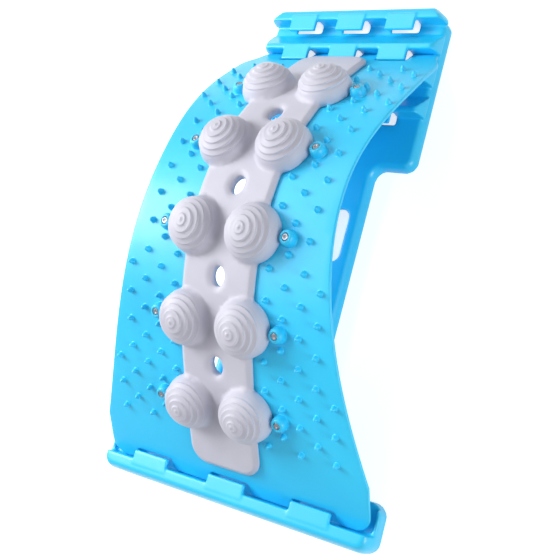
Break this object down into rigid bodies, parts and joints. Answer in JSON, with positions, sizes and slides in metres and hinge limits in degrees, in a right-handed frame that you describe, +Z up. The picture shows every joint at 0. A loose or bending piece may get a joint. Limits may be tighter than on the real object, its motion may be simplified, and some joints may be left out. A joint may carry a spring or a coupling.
{
  "type": "arched back stretcher",
  "caption": "Springy arched board with rows of small nodules and a soft domed massage pad, standing in a hooked base plate.",
  "frame": {"origin": "centre of the footprint, on the floor under the base plate", "axes": "+X across, to the right of a user at the foot rail; +Y from the foot rail to the hook rows; +Z up"},
  "size_m": [0.243, 0.4054, 0.1253],
  "materials": {
    "base_plastic": "satin moulded",
    "board_plastic": "satin moulded",
    "soft_pad": "soft matte",
    "magnet_steel": "plated"
  },
  "bodies": {
    "base": {"base_plate": "base_plastic"},
    "board": {"arch_board": "board_plastic", "massage_pad": "soft_pad", "magnet_left_1": "magnet_steel", "magnet_right_1": "magnet_steel", "magnet_left_2": "magnet_steel", "magnet_right_2": "magnet_steel", "magnet_left_3": "magnet_steel", "magnet_right_3": "magnet_steel", "magnet_left_4": "magnet_steel", "magnet_right_4": "magnet_steel", "magnet_left_5": "magnet_steel", "magnet_right_5": "magnet_steel"}
  },
  "joints": [
    {"name": "board_lift", "type": "slide", "parent": "base", "child": "board", "axis": [0, 0, 1], "range_m": [0, 0.1]}
  ]
}
